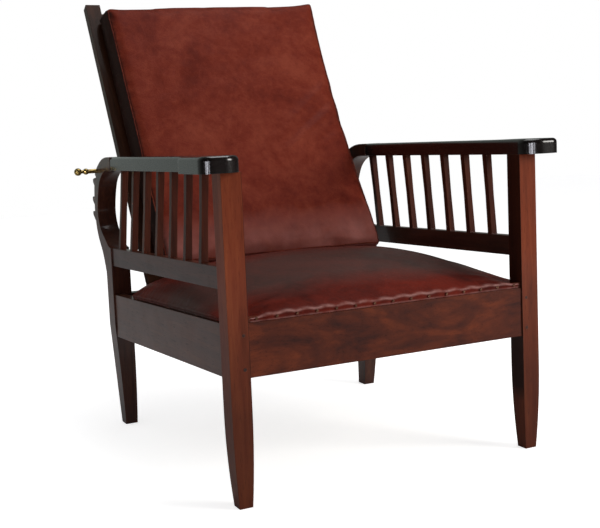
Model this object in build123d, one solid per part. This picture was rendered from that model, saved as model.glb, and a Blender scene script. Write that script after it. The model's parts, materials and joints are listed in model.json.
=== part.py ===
from build123d import *
import os
from math import atan2, cos, degrees, hypot, pi, radians, sin, sqrt, tan

os.makedirs("parts", exist_ok=True)

# Reclining armchair in dark wood: two slatted arm frames that turn down at the back into notched bows,
# a tight leather seat, and a hinged back with a loose leather cushion that leans on a brass rod.
# Millimetres. +Z is up, the front faces -Y, and right is +X, as seen from the front.
# Y is measured from the front face of the front legs, until the pieces are centred at the end.

# Side frames
front_half_width = 328.0      # outer face of the front legs from the middle
rear_half_width = 340.0       # outer face of the rear legs from the middle
post_side = 38.0
rear_leg_front = 632.0        # front face of the rear legs
rear_leg_depth = 42.0
rear_leg_width = 42.0
arm_under_height = 581.0      # underside of the arm at the front legs
arm_thickness = 29.0
arm_slope = 0.0085            # fall of the arm towards the back
arm_joint_y = 600.0           # where the arm board meets the bow
arm_front_width = 35.0
bow_reach = 85.0              # hollow of the bow behind the front of the rear leg
arm_edge_round = 8.0

# Feet
taper_height = 170.0
front_foot_side = 25.0
front_foot_inset = 7.6        # how far the front foot steps in on its outer side
front_foot_setback = 4.6
rear_foot_side = 30.0
rear_foot_inset = 15.0
rear_taper_height = 230.0     # where the outer side of the rear legs starts to slope in

# Paddle at the front of each arm
paddle_overhang = 28.0        # past the front face of the legs
paddle_side_overhang = 42.0   # past the outer face of the legs
paddle_length = 121.0
paddle_step = 16.0            # length of the hollow where the paddle narrows
paddle_outer_round = 22.0
paddle_inner_round = 36.0
paddle_step_round = 14.0

# Seat rails
rail_height = 94.0
rail_top_height = 322.0       # top of the front rail, at its rear edge
rail_thickness = 22.0
rail_inset = 3.0              # side rails stand in from the outer faces of the legs
rail_setback = 2.5            # front rail behind the front faces of the legs
seat_slope = 0.037            # fall of the seat towards the back
rear_rail_inset = 12.0        # rear face of the rear rail in from the back of the legs
tenon_thickness = 9.0
tenon_length = 17.0
tenon_shoulder = 8.0          # above and below each tenon

# Lower arm rails and spindles
arm_rail_height = 39.0
arm_rail_thickness = 18.0
arm_rail_top = 420.0          # at the front legs
arm_rail_slope = 0.028
arm_rail_shoulder = 5.0
spindle_count = 7
spindle_side = 13.5
spindle_waist = 12.0
spindle_first_y = 126.0
spindle_pitch = 76.8
spindle_head_inset = 12.5     # middle of each spindle in from the inner edge of the arm
spindle_housing = 8.0         # depth of the mortises that take the spindles
post_tenon_side = 20.0
post_tenon_height = 18.0
arm_tongue_thickness = 10.0   # tongue of the bow that runs forward into the arm
arm_tongue_width = 24.0
arm_tongue_length = 18.0

# Back frame
back_angle = 30.0             # lean of the back from upright with the rod in the top notch
hinge_y = 549.4
back_length = 752.0           # from the hinge pin to the tops of the stiles
back_side_gap = 12.0          # between the back and the rear legs
back_thickness = 22.0
stile_width = 35.0
back_rail_height = 50.0
stile_horn = 27.0             # stiles stand past the top rail
back_foot_gap = 2.0           # underside of the back above the hinge pin
slat_count = 5
slat_width = 52.0
slat_thickness = 10.0
slat_tenon = 12.0
slat_setback = 6.0            # slats lie in from the front of the back frame

# Brass rod and its rack
rod_radius = 4.75
rod_rest_gap = 0.2
rod_reach = 312.8             # along the back from the hinge pin to the rod
rod_side_overhang = 16.0      # plain rod past the outer face of the bow
finial_ball_radius = 8.5
finial_bead_radius = 7.0
finial_neck_radius = 3.9
finial_length = 34.0
finial_screw_radius = 2.6
finial_screw_length = 12.0
notch_clearance = 0.3
rod_travel_clearance = 0.6
lowest_notch_drop = 88.0      # from the rod's highest seat to its lowest
lowest_notch_step_back = 36.0

# Seat upholstery
web_thickness = 2.0
web_width = 80.0
lengthwise_web_count = 4
cross_web_count = 3
web_end_margin = 1.0          # between the ends of the webbing and the leather or the lip
hessian_thickness = 1.0
leather_thickness = 2.0
seat_front_y = 3.0
seat_rear_y = 529.0
seat_edge_inset = 5.0         # leather in from the outer faces of the side rails
seat_crown = 83.0             # highest point of the seat above the plane of the rail tops
seat_side_border = 6.0        # upright leather border above the side rails
seat_front_border = 12.5      # and above the front rail
lip_front = 5.0               # lip of the front rail, which the leather is nailed to
lip_thickness = 7.0
lip_height = 10.4
lip_gap = 0.5
seat_post_gap = 2.0
tack_pitch = 39.0
tack_head_radius = 2.5
tack_head_height = 1.2
tack_shank_radius = 0.9
tack_shank_length = 7.0
tack_height = 6.5             # above the rail

# Back cushion
cushion_side_gap = 13.0       # its sides in from the sides of the back, on the average
cushion_shift = 8.0           # the loose cushion lies a little to the right of the middle
cushion_side_draw = 4.0
cushion_foot = 29.0           # along the back from the hinge pin to its lower end
cushion_top_gap = 44.0        # its top below the tops of the stiles
cushion_thickness = 66.0
cushion_crown = 8.0
cushion_gap = 0.3             # to the back frame behind it

# Hinges
hinge_rail_thickness = 30.0   # rail across the seat frame that carries the hinges
hinge_inset = 96.0            # from each side of the back to the middle of its hinge
hinge_length = 60.0
leaf_depth = 20.0
leaf_thickness = 2.0
pin_radius = 2.0
pin_clearance = 0.05
knuckle_radius = 4.0
knuckle_gap = 0.3
screw_radius = 1.8
screw_head_radius = 3.4
screw_head_height = 0.9
screw_length = 13.0
screw_spread = 20.0           # between the screws of a leaf
screw_setback = 13.0          # from the pin to the screws
knuckle_count = 5

# Pegs
peg_radius = 3.0
peg_length = 30.0
peg_proud = 0.4
peg_edge = 10.0               # from the inner face of the leg to the pegs
peg_height_shares = (0.17, 0.80)
overrun = 20.0                # how far cutting shapes run past what they cut

# Worked-out places
rear_leg_back = rear_leg_front + rear_leg_depth
post_inner_x = front_half_width - post_side
rear_inner_x = rear_half_width - rear_leg_width
side_spread = (rear_half_width - front_half_width) / (rear_leg_front - post_side)
front_rail_front = rail_setback
front_rail_back = front_rail_front + rail_thickness
hinge_rail_back = hinge_y - knuckle_radius - knuckle_gap
hinge_rail_front = hinge_rail_back - hinge_rail_thickness
lean = radians(back_angle)
up_back = (sin(lean), cos(lean))
off_back = (-cos(lean), sin(lean))
back_top_y = hinge_y + back_length * up_back[0]
back_half_width = rear_inner_x - back_side_gap
hinge_spread = back_half_width - hinge_inset
depth_middle = (back_top_y - paddle_overhang) / 2


def side_x(y):
    """Outer face of the side frames, which spread a little towards the back."""
    return front_half_width + side_spread * (y - post_side)


def seat_z(y):
    """Plane of the rail tops under the seat."""
    return rail_top_height - seat_slope * (y - front_rail_back)


hinge_height = seat_z(hinge_rail_back) + leaf_thickness


def arm_z(y):
    """Underside of the arm."""
    return arm_under_height - arm_slope * y


def arm_rail_z(y):
    """Top of the lower arm rail."""
    return arm_rail_top - arm_rail_slope * (y - post_side)


def on_back(along, off):
    """Place in Y and Z of a point of the back, from the hinge pin."""
    y = hinge_y + along * up_back[0] + off * off_back[0]
    z = hinge_height + along * up_back[1] + off * off_back[1]
    return (y, z)


def side_sawn(points, x_low, x_high):
    """A board of the given outline in Y and Z, from x_low to x_high."""
    outline = [Vector(x_low, y, z) for y, z in points]
    return extrude(Face(Wire.make_polygon(outline, close=True)), x_high - x_low, dir=(1, 0, 0))


def plan_sawn(points, z_low, z_high):
    """A board of the given outline in X and Y, from z_low to z_high."""
    outline = [Vector(x, y, z_low) for x, y in points]
    return extrude(Face(Wire.make_polygon(outline, close=True)), z_high - z_low, dir=(0, 0, 1))


def block(x_low, x_high, y_low, y_high, z_low, z_high):
    """A square-cornered block between its limits."""
    size = (x_high - x_low, y_high - y_low, z_high - z_low)
    middle = ((x_low + x_high) / 2, (y_low + y_high) / 2, (z_low + z_high) / 2)
    return Pos(*middle) * Box(*size)


def slanted_bar(start, finish):
    """A bar between two upright rectangles, each (y, x_low, x_high, z_low, z_high)."""
    rings = []
    for y, x_low, x_high, z_low, z_high in (start, finish):
        ring = [(x_low, y, z_low), (x_high, y, z_low), (x_high, y, z_high), (x_low, y, z_high)]
        rings.append(Wire.make_polygon([Vector(*point) for point in ring], close=True))
    return Solid.make_loft(rings, ruled=True)


def rod_between(x_low, x_high, y, z, radius):
    """A round bar along X."""
    return Pos((x_low + x_high) / 2, y, z) * Rot(0, 90, 0) * Cylinder(radius, x_high - x_low)


pieces = {}


def keep(name, shape):
    """Adds a finished piece under its name."""
    pieces[name] = shape


def keep_pair(name, shape):
    """Adds a right-hand piece and its left-hand mirror image."""
    keep(name + "_right", shape)
    keep(name + "_left", mirror(shape, about=Plane.YZ))


# Rod places, worked out from the back that leans on the rod
rod_off = -(rod_radius + rod_rest_gap)
rod_y, rod_z = on_back(rod_reach, rod_off)
low_y = rod_y + lowest_notch_step_back
low_z = rod_z - lowest_notch_drop
swing_y = (rod_y + low_y) / 2
swing_z = (rod_z + low_z) / 2
swing_radius = hypot(low_y - rod_y, low_z - rod_z) / 2
low_distance = hypot(low_y - hinge_y, low_z - hinge_height)
low_lean = atan2(low_y - hinge_y, low_z - hinge_height)
swing_tilt = degrees(atan2(lowest_notch_step_back, lowest_notch_drop))
recline_range = degrees(low_lean + atan2(rod_off, sqrt(low_distance**2 - rod_off**2))) - back_angle


def taper(side, foot_side):
    """One side of a foot below the taper height: a soft arc, or straight where it doesn't step in."""
    if side == foot_side:
        return Edge.make_line((side, taper_height), (foot_side, 0))
    return Edge.make_tangent_arc((side, taper_height), (0, -1), (foot_side, 0))


def foot_profile(top, outer, inner, foot_outer, foot_inner):
    """Outline of a leg with a tapered foot, in its own plane."""
    sole = Edge.make_line((foot_outer, 0), (foot_inner, 0))
    outer_side = Edge.make_line((outer, top), (outer, taper_height))
    inner_side = Edge.make_line((inner, top), (inner, taper_height))
    head = Edge.make_line((outer, top), (inner, top))
    sides = [taper(outer, foot_outer), taper(inner, foot_inner)]
    return Face(Wire([head, outer_side, inner_side, sole] + sides))


def leg_from(front_view, side_view, reach):
    """A leg sawn from two directions, given its outlines as seen from the front and from the side."""
    seen_from_front = extrude(Plane.XZ * front_view, reach, both=True)
    seen_from_side = extrude(Plane.YZ * side_view, reach, both=True)
    return seen_from_front & seen_from_side


def side_bar(top, height, thickness, shoulder):
    """A rail from a front leg to a rear leg, with a thinner tenon at each end."""
    reaches = ((0, 0, 0), (tenon_length, (thickness - tenon_thickness) / 2, shoulder))
    bars = []
    for reach, shrink_x, shrink_z in reaches:
        ends = []
        for y in (post_side - reach, rear_leg_front + reach):
            outer = side_x(y) - rail_inset - shrink_x
            inner = side_x(y) - rail_inset - thickness + shrink_x
            ends.append((y, inner, outer, top(y) - height + shrink_z, top(y) - shrink_z))
        bars.append(slanted_bar(*ends))
    return bars[0] + bars[1]


side_rail = side_bar(seat_z, rail_height, rail_thickness, tenon_shoulder)
arm_rail = side_bar(arm_rail_z, arm_rail_height, arm_rail_thickness, arm_rail_shoulder)

# Front rail, with a low lip along its top that the leather is nailed to
lip_back = lip_front + lip_thickness
rail_foot_height = rail_top_height - rail_height
front_outline = [(front_rail_front, rail_foot_height), (front_rail_back, rail_foot_height),
                 (front_rail_back, rail_top_height), (lip_back, seat_z(lip_back)),
                 (lip_back, seat_z(lip_back) + lip_height), (lip_front, seat_z(lip_back) + lip_height),
                 (lip_front, seat_z(lip_front)), (front_rail_front, seat_z(front_rail_front))]
front_rail = side_sawn(front_outline, -post_inner_x, post_inner_x)
rail_middle_y = (front_rail_front + front_rail_back) / 2
front_tenon_reach = post_inner_x + tenon_length
front_rail += block(-front_tenon_reach, front_tenon_reach,
                    rail_middle_y - tenon_thickness / 2, rail_middle_y + tenon_thickness / 2,
                    rail_foot_height + tenon_shoulder, rail_top_height - tenon_shoulder)

# Rear rail, between the rear legs
rear_rail_back = rear_leg_back - rear_rail_inset
rear_rail_front = rear_rail_back - rail_thickness
rear_rail_middle = (rear_rail_front + rear_rail_back) / 2
rear_rail_top = seat_z(rear_rail_middle)
rear_rail = block(-rear_inner_x, rear_inner_x, rear_rail_front, rear_rail_back,
                  rear_rail_top - rail_height, rear_rail_top)
rear_tenon_reach = rear_inner_x + tenon_length
rear_rail += block(-rear_tenon_reach, rear_tenon_reach,
                   rear_rail_middle - tenon_thickness / 2, rear_rail_middle + tenon_thickness / 2,
                   rear_rail_top - rail_height + tenon_shoulder, rear_rail_top - tenon_shoulder)

# Hinge rail across the seat frame, under the foot of the back, housed in the side rails
hinge_rail_foot = seat_z(hinge_rail_back) - rail_height
hinge_inner_x = side_x(hinge_rail_front) - rail_inset - rail_thickness
hinge_rail_reach = hinge_inner_x + tenon_thickness
hinge_outline = [(hinge_rail_front, hinge_rail_foot), (hinge_rail_back, hinge_rail_foot),
                 (hinge_rail_back, seat_z(hinge_rail_back)), (hinge_rail_front, seat_z(hinge_rail_front))]
hinge_rail = side_sawn(hinge_outline, -hinge_rail_reach, hinge_rail_reach)
side_rail -= hinge_rail

# Front legs, with a tenon up into the arm
front_foot_outer = front_half_width - front_foot_inset
front_view = foot_profile(arm_z(0), front_half_width, post_inner_x,
                          front_foot_outer, front_foot_outer - front_foot_side)
side_view = foot_profile(arm_z(0), post_side, 0,
                         front_foot_setback + front_foot_side, front_foot_setback)
front_leg = leg_from(front_view, side_view, arm_z(0))
post_middle_x = (post_inner_x + front_half_width) / 2
post_middle_y = post_side / 2
half_tenon = post_tenon_side / 2
post_tenon = block(post_middle_x - half_tenon, post_middle_x + half_tenon,
                   post_middle_y - half_tenon, post_middle_y + half_tenon,
                   arm_z(0) - post_tenon_height, arm_z(0) + post_tenon_height)

# Rear legs: straight and tapered below, and a bow above that swings back, up and forward into the arm.
# The shares follow the bow's reach behind the leg's front face, and its height above the lower arm rail
bow_foot_z = arm_rail_z(rear_leg_front)
bow_head_z = arm_z(arm_joint_y)
bow_height = bow_head_z - bow_foot_z
hollow_shares = ((0, 0), (0.40, 0.085), (0.80, 0.22), (1.0, 0.43), (0.90, 0.65), (0.62, 0.87), (0.2, 0.98))
spine_shares = ((0.235, 1.148), (0.60, 1.09), (0.865, 1.021), (1.012, 0.966), (1.165, 0.821),
                (1.235, 0.676), (1.27, 0.502), (1.235, 0.316), (1.047, 0.102), (0.706, -0.112),
                (0.529, -0.298))


def on_bow(shares):
    """Places in Y and Z of points given as shares of the bow."""
    return [Vector(rear_leg_front + a * bow_reach, bow_foot_z + b * bow_height) for a, b in shares]


joint_low = Vector(arm_joint_y, bow_head_z)
joint_high = Vector(arm_joint_y, bow_head_z + arm_thickness)
spine_foot = Vector(rear_leg_back, bow_foot_z - bow_height / 2)
hollow_points = on_bow(hollow_shares)
rear_foot_front = rear_leg_back - rear_foot_side
bow_edges = [
    Edge.make_spline(hollow_points + [joint_low], tangents=[Vector(1, 0), Vector(-1, arm_slope)]),
    Edge.make_line(joint_low, joint_high),
    Edge.make_spline([joint_high] + on_bow(spine_shares) + [spine_foot],
                     tangents=[Vector(1, -arm_slope), Vector(0, -1)]),
    Edge.make_line(spine_foot, (rear_leg_back, 0)),
    Edge.make_line((rear_leg_back, 0), (rear_foot_front, 0)),
    taper(rear_leg_front, rear_foot_front),
    Edge.make_line((rear_leg_front, taper_height), hollow_points[0]),
]
bow_view = Face(Wire(bow_edges))
rear_head_z = joint_high.Y + bow_height
rear_outline = [(rear_half_width, rear_head_z), (rear_half_width, rear_taper_height),
                (rear_half_width - rear_foot_inset, 0), (rear_inner_x, 0), (rear_inner_x, rear_head_z)]
rear_front_view = Face(Wire.make_polygon([Vector(*point) for point in rear_outline], close=True))
rear_leg = leg_from(rear_front_view, bow_view, rear_leg_back + 2 * bow_reach)

# Rack in the rear edge of the bow: hooked teeth, then a round seat for the rod above each of them.
# The shares count from the middle of the rod's swing, in its radius
tooth_shares = (
    ((-0.063, 0.568), (0.105, 0.568), (0.274, 0.516), (0.284, 0.40), (0.105, 0.232), (-0.063, 0.19)),
    ((0.147, -0.316), (0.442, -0.316), (0.505, -0.358), (0.505, -0.505), (0.274, -0.674), (0.147, -0.695)),
    ((0.21, -1.03), (0.526, -1.03), (0.589, -1.074), (0.589, -1.179), (0.274, -1.43), (0.04, -1.495)),
)
middle_seat_shares = ((-0.137, 0.615), (0.295, -0.21))
for shares in tooth_shares:
    tooth = [(swing_y + a * swing_radius, swing_z + b * swing_radius) for a, b in shares]
    rear_leg += side_sawn(tooth, rear_inner_x, rear_half_width)
seats = [(rod_y, rod_z), (low_y, low_z)]
for a, b in middle_seat_shares:
    seats.append((swing_y + a * swing_radius, swing_z + b * swing_radius))
for seat_y, seat_height in seats:
    rear_leg -= rod_between(0, front_half_width + rear_half_width, seat_y, seat_height,
                            rod_radius + notch_clearance)

# Room for the rod as it swings out behind the teeth, from its highest seat to its lowest
travel_half_width = rod_radius + rod_travel_clearance
ring_outer = swing_radius + travel_half_width
ring_inner = swing_radius - travel_half_width
swing_turn = Pos(rear_half_width, swing_y, swing_z) * Rot(swing_tilt, 0, 0)
swing_ring = Cylinder(ring_outer, rear_half_width) - Cylinder(ring_inner, rear_half_width)
swing_side = Pos(0, ring_outer, 0) * Box(rear_half_width, 2 * ring_outer, 2 * ring_outer)
rear_leg -= swing_turn * (Rot(0, 90, 0) * swing_ring & swing_side)

# Arms: sawn to the plan and to the side view, with a rounded top edge
arm_inner_front = front_half_width - arm_front_width
arm_outer_rear = side_x(arm_joint_y)
arm_inner_rear = arm_outer_rear - rear_leg_width + (rear_half_width - arm_outer_rear)
paddle_outer = front_half_width + paddle_side_overhang
step_front = paddle_length - paddle_overhang
step_back = step_front + paddle_step
corner_rounds = (
    ((paddle_outer, -paddle_overhang), paddle_outer_round),
    ((arm_inner_front, -paddle_overhang), paddle_inner_round),
    ((paddle_outer, step_front), paddle_step_round),
    ((side_x(step_back), step_back), paddle_step_round),
)
arm_plan = Polygon((arm_outer_rear, arm_joint_y), (side_x(step_back), step_back),
                   (paddle_outer, step_front), (paddle_outer, -paddle_overhang),
                   (arm_inner_front, -paddle_overhang), (arm_inner_rear, arm_joint_y), align=None)
for corner, radius in corner_rounds:
    nearest = arm_plan.vertices().sort_by_distance(corner)[0]
    arm_plan = fillet(nearest, radius)
arm_front_z = arm_z(-paddle_overhang)
arm_outline = [(-paddle_overhang, arm_front_z), (arm_joint_y, bow_head_z),
               (arm_joint_y, joint_high.Y), (-paddle_overhang, arm_front_z + arm_thickness)]
arm = extrude(arm_plan, 2 * arm_z(0), both=True) & side_sawn(arm_outline, 0, 2 * rear_half_width)
arm_top_edges = arm.faces().sort_by(Axis.Z)[-1].edges().filter_by(
    lambda edge: edge.center().Y < arm_joint_y - arm_edge_round)
arm = fillet(arm_top_edges, arm_edge_round)

# Tongue on the head of the bow, let into the end of the arm
bow_middle_x = (rear_inner_x + rear_half_width) / 2
bow_middle_z = bow_head_z + arm_thickness / 2
rear_leg += block(bow_middle_x - arm_tongue_width / 2, bow_middle_x + arm_tongue_width / 2,
                  arm_joint_y - arm_tongue_length, arm_joint_y + arm_tongue_length,
                  bow_middle_z - arm_tongue_thickness / 2, bow_middle_z + arm_tongue_thickness / 2)

# Spindles between the lower rail and the arm, thinner at the waist, each housed at both ends
for number in range(spindle_count):
    spindle_y = spindle_first_y + number * spindle_pitch
    foot_x = side_x(spindle_y) - rail_inset - arm_rail_thickness / 2
    inner_share = (spindle_y + paddle_overhang) / (arm_joint_y + paddle_overhang)
    arm_inner_x = arm_inner_front + inner_share * (arm_inner_rear - arm_inner_front)
    head_x = arm_inner_x + spindle_head_inset
    foot_z = arm_rail_z(spindle_y) - spindle_housing
    head_z = arm_z(spindle_y) + spindle_housing
    rings = []
    for share, width in ((0, spindle_side), (0.5, spindle_waist), (1.0, spindle_side)):
        ring = Rectangle(width, width).wire()
        middle = (foot_x + share * (head_x - foot_x), spindle_y, foot_z + share * (head_z - foot_z))
        rings.append(Pos(*middle) * ring)
    spindle = Solid.make_loft(rings, ruled=True)
    arm_rail -= spindle
    arm -= spindle
    keep_pair(f"spindle_{number + 1}", spindle)

# Pegs through the tenons of the front rail
pegs = []
for share in peg_height_shares:
    peg_middle = Pos(post_inner_x + peg_edge, (peg_length - peg_proud) / 2, rail_foot_height + share * rail_height)
    peg = peg_middle * Rot(90, 0, 0) * Cylinder(peg_radius, peg_length + peg_proud)
    front_leg -= peg
    pegs += [peg, mirror(peg, about=Plane.YZ)]
for peg in pegs:
    front_rail -= peg

# Joints of the side frames
front_leg = front_leg - arm + post_tenon - front_rail - side_rail - arm_rail
rear_leg = rear_leg - rear_rail - side_rail - arm_rail
arm = arm - post_tenon - rear_leg

# Webbing: lengthwise bands on the front and hinge rails, and cross bands over them on the side rails
def seat_sheet(x_low, x_high, y_low, y_high, low, high):
    """A flat layer of the seat that follows the plane of the rail tops, low and high above it."""
    outline = [(y_low, seat_z(y_low) + low), (y_high, seat_z(y_high) + low),
               (y_high, seat_z(y_high) + high), (y_low, seat_z(y_low) + high)]
    return side_sawn(outline, x_low, x_high)


def seat_half_width(y):
    """Half the width of the leather seat."""
    return side_x(y) - rail_inset - seat_edge_inset


web_front_y = lip_back + web_end_margin
web_back_y = seat_rear_y - leather_thickness - web_end_margin
web_pitch = 2 * post_inner_x / lengthwise_web_count
for number in range(lengthwise_web_count):
    middle_x = (number - (lengthwise_web_count - 1) / 2) * web_pitch
    web = seat_sheet(middle_x - web_width / 2, middle_x + web_width / 2, web_front_y, web_back_y,
                     0, web_thickness)
    keep(f"webbing_long_{number + 1}", web)
cross_pitch = (hinge_rail_front - front_rail_back) / cross_web_count
for number in range(cross_web_count):
    middle_y = front_rail_back + (number + 0.5) * cross_pitch
    y_low = middle_y - web_width / 2
    y_high = middle_y + web_width / 2
    reach = seat_half_width(y_low) - leather_thickness - web_end_margin
    on_rail = side_x(y_high) - rail_inset - rail_thickness
    web = seat_sheet(-reach, reach, y_low, y_high, web_thickness, 2 * web_thickness)
    web += seat_sheet(on_rail, reach, y_low, y_high, 0, web_thickness)
    web += seat_sheet(-reach, -on_rail, y_low, y_high, 0, web_thickness)
    keep(f"webbing_cross_{number + 1}", web)

# Seat: stuffing in a domed leather cover. The stations run from the front of the seat to its rear:
# share of the length, height as a share of the crown, and the upright border below the dome
seat_stations = (
    (0, 0.168, 1.0), (0.11, 0.36, 0.7), (0.22, 0.54, 0.3), (0.355, 0.785, 0.1), (0.51, 0.955, 0),
    (0.64, 1.0, 0), (0.755, 0.975, 0), (0.85, 0.90, 0), (0.933, 0.765, 0), (1.0, 0.50, 0),
)
dome_shares = ((1.0, 0), (0.95, 0.30), (0.85, 0.55), (0.70, 0.77), (0.50, 0.92))


def seat_dome(inset, base):
    """The dome of the seat, drawn in by an amount on every side, down to a base height."""
    sections = []
    for number, (share, crown_share, front_share) in enumerate(seat_stations):
        y = seat_front_y + share * (seat_rear_y - seat_front_y)
        if number == 0:
            y += inset
        if number == len(seat_stations) - 1:
            y -= inset
        half_width = seat_half_width(y) - inset
        border = seat_side_border + front_share * (seat_front_border - seat_side_border) - inset
        rise = crown_share * seat_crown - inset - border
        floor = seat_z(y)
        right = []
        left = []
        for width_share, rise_share in dome_shares:
            height = floor + border + rise_share * rise
            right.append(Vector(width_share * half_width, y, height))
            left.append(Vector(-width_share * half_width, y, height))
        top = Vector(0, y, floor + border + rise)
        right_foot = Vector(half_width, y, floor + base)
        left_foot = Vector(-half_width, y, floor + base)
        sections.append(Wire([
            Edge.make_line(left_foot, right_foot),
            Edge.make_line(right_foot, right[0]),
            Edge.make_three_point_arc(right[0], right[1], right[2]),
            Edge.make_three_point_arc(right[2], right[3], right[4]),
            Edge.make_three_point_arc(right[4], top, left[4]),
            Edge.make_three_point_arc(left[4], left[3], left[2]),
            Edge.make_three_point_arc(left[2], left[1], left[0]),
            Edge.make_line(left[0], left_foot),
        ]))
    return Solid.make_loft(sections)


post_room = []
for side in (-1, 1):
    post_x = side * (post_inner_x + front_half_width) / 2
    room = Pos(post_x, post_side / 2, rail_top_height) * Box(
        post_side + 2 * seat_post_gap, post_side + 2 * seat_post_gap, rail_height)
    post_room.append(room)
hessian_floor = 2 * web_thickness
stuffing_floor = hessian_floor + hessian_thickness
hessian_reach = seat_half_width(0) - leather_thickness - web_end_margin
hessian = seat_sheet(-hessian_reach, hessian_reach, web_front_y, web_back_y, hessian_floor, stuffing_floor)
stuffing = seat_dome(leather_thickness, stuffing_floor)
stuffing -= block(-rear_half_width, rear_half_width, 0, web_front_y, 0, arm_z(0))
leather = seat_dome(0, 0) - seat_dome(leather_thickness, -rail_thickness)
for room in post_room:
    hessian -= room
    stuffing -= room
    leather -= room

# Tacks along the front border of the seat
tacks = []
tack_count = 2 * int((post_inner_x - 2 * tack_head_radius) / tack_pitch) + 1
for number in range(tack_count):
    tack_x = (number - (tack_count - 1) / 2) * tack_pitch
    tack_place = Pos(tack_x, seat_front_y, seat_z(seat_front_y) + tack_height) * Rot(90, 0, 0)
    shank = Pos(0, 0, -tack_shank_length / 2) * Cylinder(tack_shank_radius, tack_shank_length)
    head = Pos(0, 0, tack_head_height / 2) * Cylinder(tack_head_radius, tack_head_height)
    head = fillet(head.edges().group_by(Axis.Z)[-1], tack_head_height / 2)
    tacks.append(tack_place * (shank + head))
    leather -= tack_place * shank
    front_rail -= tack_place * shank

# Back frame, drawn flat and set up along the lean: X across, Y along the back, Z off its rear face
back_place = Plane(origin=(0, hinge_y, hinge_height), x_dir=(1, 0, 0),
                   z_dir=(0, off_back[0], off_back[1])).location
stile_inner_x = back_half_width - stile_width
back_middle_off = back_thickness / 2
half_tenon_off = tenon_thickness / 2
stile = block(stile_inner_x, back_half_width, back_foot_gap, back_length, 0, back_thickness)
top_rail_high = back_length - stile_horn
top_rail_low = top_rail_high - back_rail_height
foot_rail_high = back_foot_gap + back_rail_height
back_rails = []
for low, high in ((top_rail_low, top_rail_high), (back_foot_gap, foot_rail_high)):
    bar = block(-stile_inner_x, stile_inner_x, low, high, 0, back_thickness)
    reach = stile_inner_x + tenon_length
    bar += block(-reach, reach, low + tenon_shoulder, high - tenon_shoulder,
                 back_middle_off - half_tenon_off, back_middle_off + half_tenon_off)
    stile -= bar
    back_rails.append(bar)
top_rail, foot_rail = back_rails
slat_pitch = 2 * stile_inner_x / slat_count
slat_front = back_thickness - slat_setback
for number in range(slat_count):
    middle_x = (number - (slat_count - 1) / 2) * slat_pitch
    slat = block(middle_x - slat_width / 2, middle_x + slat_width / 2, foot_rail_high - slat_tenon,
                 top_rail_low + slat_tenon, slat_front - slat_thickness, slat_front)
    top_rail -= slat
    foot_rail -= slat
    keep(f"back_slat_{number + 1}", back_place * slat)

# Back cushion: a boxed leather pad, a little thinner and drawn in at its ends. Evenly spaced stations
# run from its foot to its top: shares of its thickness, and of the draw of its sides
cushion_stations = ((0.84, 1.0), (0.97, 0.2), (1.0, 0), (1.0, 0), (1.0, 0), (1.0, 0), (1.0, 0), (1.0, 0),
                    (1.0, 0), (1.0, 0), (1.0, 0), (1.0, 0.1), (0.94, 0.5))
cushion_half_width = back_half_width - cushion_side_gap
cushion_top = back_length - cushion_top_gap
cushion_rear = back_thickness + cushion_gap
cushion_sections = []
for number, (thickness_share, draw_share) in enumerate(cushion_stations):
    share = number / (len(cushion_stations) - 1)
    along = cushion_foot + share * (cushion_top - cushion_foot)
    half_width = cushion_half_width - draw_share * cushion_side_draw
    edge_off = cushion_rear + thickness_share * (cushion_thickness - cushion_crown)
    crown_off = cushion_rear + thickness_share * cushion_thickness
    middle_off = (cushion_rear + edge_off) / 2
    narrow = half_width - cushion_side_draw
    cushion_sections.append(Wire([
        Edge.make_line((-narrow, along, cushion_rear), (narrow, along, cushion_rear)),
        Edge.make_three_point_arc((narrow, along, cushion_rear), (half_width, along, middle_off),
                                  (narrow, along, edge_off)),
        Edge.make_three_point_arc((narrow, along, edge_off), (0, along, crown_off),
                                  (-narrow, along, edge_off)),
        Edge.make_three_point_arc((-narrow, along, edge_off), (-half_width, along, middle_off),
                                  (-narrow, along, cushion_rear)),
    ]))
cushion = Solid.make_loft(cushion_sections)

# Butt hinges: one leaf let into the hinge rail, the other under the foot rail of the back
segment_length = hinge_length / knuckle_count
rail_leaf = block(-hinge_length / 2, hinge_length / 2, -leaf_depth, 0, -leaf_thickness, 0)
back_leaf = block(-hinge_length / 2, hinge_length / 2, 0, leaf_thickness, 0, leaf_depth)
leaf_bed = rail_leaf
knuckle_room = knuckle_radius + knuckle_gap
rail_barrels = []
back_barrels = []
for number in range(knuckle_count):
    low = -hinge_length / 2 + number * segment_length
    high = low + segment_length
    barrel = rod_between(low + knuckle_gap / 2, high - knuckle_gap / 2, 0, 0, knuckle_radius)
    room = rod_between(low - knuckle_gap / 2, high + knuckle_gap / 2, 0, 0, knuckle_room)
    if number % 2 == 0:
        back_leaf -= room
        rail_barrels.append(barrel)
    else:
        rail_leaf -= room
        back_barrels.append(barrel)
for barrel in rail_barrels:
    rail_leaf += barrel
for barrel in back_barrels:
    back_leaf += barrel
pin = rod_between(-hinge_length / 2, hinge_length / 2, 0, 0, pin_radius)
rail_leaf -= pin
back_leaf -= rod_between(-hinge_length, hinge_length, 0, 0, pin_radius + pin_clearance)
screw = Pos(0, 0, screw_head_height / 2) * Cylinder(screw_head_radius, screw_head_height)
screw += Pos(0, 0, -screw_length / 2) * Cylinder(screw_radius, screw_length)
rail_screws = []
back_screws = []
for number in (-1, 0, 1):
    rail_screw = Pos(number * screw_spread, -screw_setback, 0) * screw
    back_screw = Pos(number * screw_spread, 0, screw_setback) * Rot(90, 0, 0) * screw
    rail_leaf -= rail_screw
    back_leaf -= back_screw
    rail_screws.append(rail_screw)
    back_screws.append(back_screw)
hinge_pins = []
all_rail_screws = []
all_back_screws = []
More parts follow.
